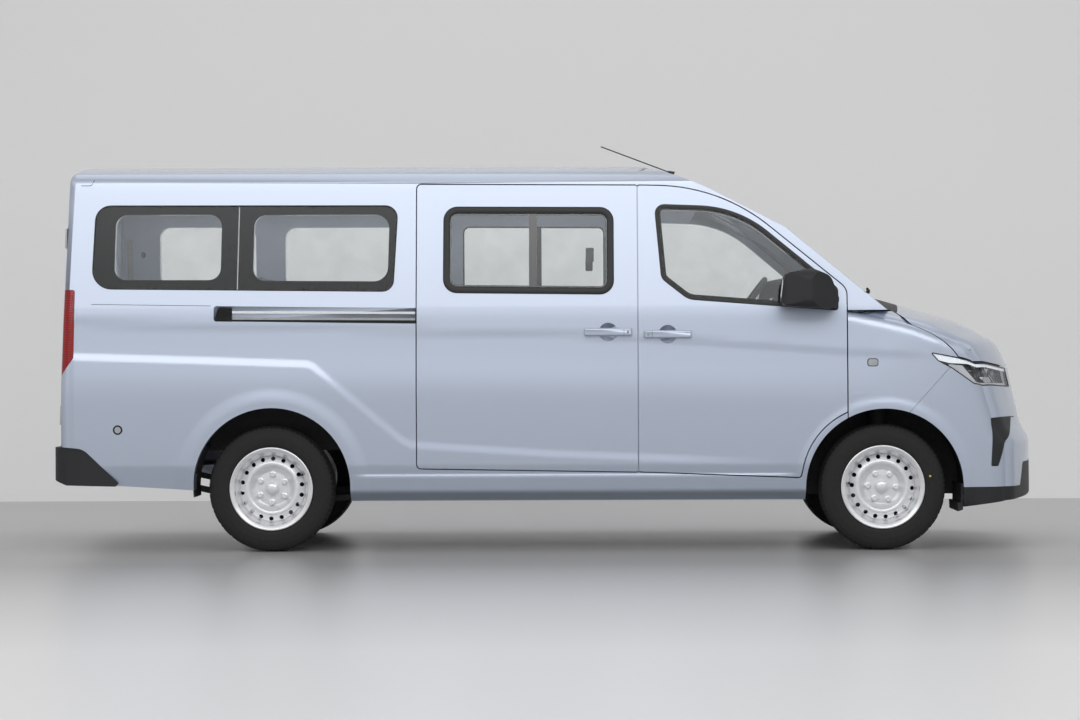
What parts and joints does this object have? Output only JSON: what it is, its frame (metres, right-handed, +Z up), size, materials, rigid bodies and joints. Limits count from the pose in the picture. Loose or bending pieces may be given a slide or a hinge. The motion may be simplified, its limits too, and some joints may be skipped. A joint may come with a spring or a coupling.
{
  "type": "minibus",
  "caption": "Minibus with a sliding side door, twin rear doors, opening front doors and bonnet, steered front wheels and seats in rows.",
  "frame": {"origin": "on the ground, at the middle of the overall length and on the vehicle's centreline", "axes": "+X forwards, +Y to the vehicle's left, +Z up"},
  "size_m": [4.964, 2.192, 2.0537],
  "materials": {
    "paint": "pale silver-blue metallic paint",
    "black_plastic": "grained black plastic",
    "glass": "lightly tinted safety glass",
    "wheel_silver": "silver painted steel",
    "chassis_black": "black chassis paint",
    "tyre": "black rubber",
    "red_lens": "red lens",
    "clear_lens": "clear lens over reflector",
    "seat_fabric": "dark grey woven fabric",
    "dark_trim": "dark grey trim",
    "rail_metal": "satin rail"
  },
  "bodies": {
    "body": {"antenna": "black_plastic", "arch_liners": "chassis_black", "battery_pack": "chassis_black", "bulkhead": "chassis_black", "cowl": "black_plastic", "dashboard": "dark_trim", "drive_unit": "chassis_black", "fixed_glass": "glass", "floor": "chassis_black", "front_bumper": "paint", "front_suspension": "chassis_black", "front_trim": "black_plastic", "headlamps": "clear_lens", "rear_axle": "chassis_black", "rear_bumper": "black_plastic", "rear_hinges": "rail_metal", "roof": "paint", "seat_frames": "chassis_black", "seats": "seat_fabric", "side_left": "paint", "side_right": "paint", "sliding_door": "paint", "sliding_rail": "rail_metal", "steering_wheel": "dark_trim", "tail_lamps": "red_lens", "wings": "paint", "wipers": "black_plastic"},
    "front_door_left_body": {"front_door_left": "paint", "front_door_glass_left": "glass", "mirror_left": "black_plastic"},
    "front_door_right_body": {"front_door_right": "paint", "front_door_glass_right": "glass", "mirror_right": "black_plastic"},
    "rear_door_left_body": {"rear_door_left": "paint", "rear_door_glass_left": "glass"},
    "rear_door_right_body": {"rear_door_right": "paint", "rear_door_glass_right": "glass"},
    "bonnet_body": {"bonnet": "paint"},
    "knuckle_left_body": {"knuckle_left": "chassis_black"},
    "knuckle_right_body": {"knuckle_right": "chassis_black"},
    "wheel_front_left_body": {"wheel_front_left": "wheel_silver", "tyre_front_left": "tyre"},
    "wheel_front_right_body": {"wheel_front_right": "wheel_silver", "tyre_front_right": "tyre"},
    "wheel_rear_left_body": {"wheel_rear_left": "wheel_silver", "tyre_rear_left": "tyre"},
    "wheel_rear_right_body": {"wheel_rear_right": "wheel_silver", "tyre_rear_right": "tyre"}
  },
  "joints": [
    {"name": "front_door_left_hinge", "type": "hinge", "parent": "body", "child": "front_door_left_body", "pos_m": [1.452, 0.901, 0.9], "axis": [0, 0, -1], "range_deg": [0, 65]},
    {"name": "front_door_right_hinge", "type": "hinge", "parent": "body", "child": "front_door_right_body", "pos_m": [1.452, -0.901, 0.9], "axis": [0, 0, 1], "range_deg": [0, 65]},
    {"name": "rear_door_left_hinge", "type": "hinge", "parent": "body", "child": "rear_door_left_body", "pos_m": [-2.446, 0.79, 0.64], "axis": [-0.0266, 0.0404, -0.9988], "range_deg": [0, 95]},
    {"name": "rear_door_right_hinge", "type": "hinge", "parent": "body", "child": "rear_door_right_body", "pos_m": [-2.446, -0.79, 0.64], "axis": [0.0266, 0.0404, 0.9988], "range_deg": [0, 95]},
    {"name": "bonnet_hinge", "type": "hinge", "parent": "body", "child": "bonnet_body", "pos_m": [1.735, 0, 1.25], "axis": [0, -1, 0], "range_deg": [0, 50]},
    {"name": "steer_left", "type": "hinge", "parent": "body", "child": "knuckle_left_body", "pos_m": [1.657, 0.665, 0.205], "axis": [0, -0.1977, 0.9803], "range_deg": [-32, 32]},
    {"name": "steer_right", "type": "hinge", "parent": "body", "child": "knuckle_right_body", "pos_m": [1.657, -0.665, 0.205], "axis": [0, 0.1977, 0.9803], "range_deg": [-32, 32]},
    {"name": "wheel_front_left_spin", "type": "hinge", "parent": "knuckle_left_body", "child": "wheel_front_left_body", "pos_m": [1.657, 0.745, 0.314], "axis": [0, 1, 0], "continuous": true},
    {"name": "wheel_front_right_spin", "type": "hinge", "parent": "knuckle_right_body", "child": "wheel_front_right_body", "pos_m": [1.657, -0.745, 0.314], "axis": [0, 1, 0], "continuous": true},
    {"name": "wheel_rear_left_spin", "type": "hinge", "parent": "body", "child": "wheel_rear_left_body", "pos_m": [-1.393, 0.745, 0.314], "axis": [0, 1, 0], "continuous": true},
    {"name": "wheel_rear_right_spin", "type": "hinge", "parent": "body", "child": "wheel_rear_right_body", "pos_m": [-1.393, -0.745, 0.314], "axis": [0, 1, 0], "continuous": true}
  ],
  "couplings": [
    {"joint": "steer_right", "follows": "steer_left", "ratio": 1}
  ]
}
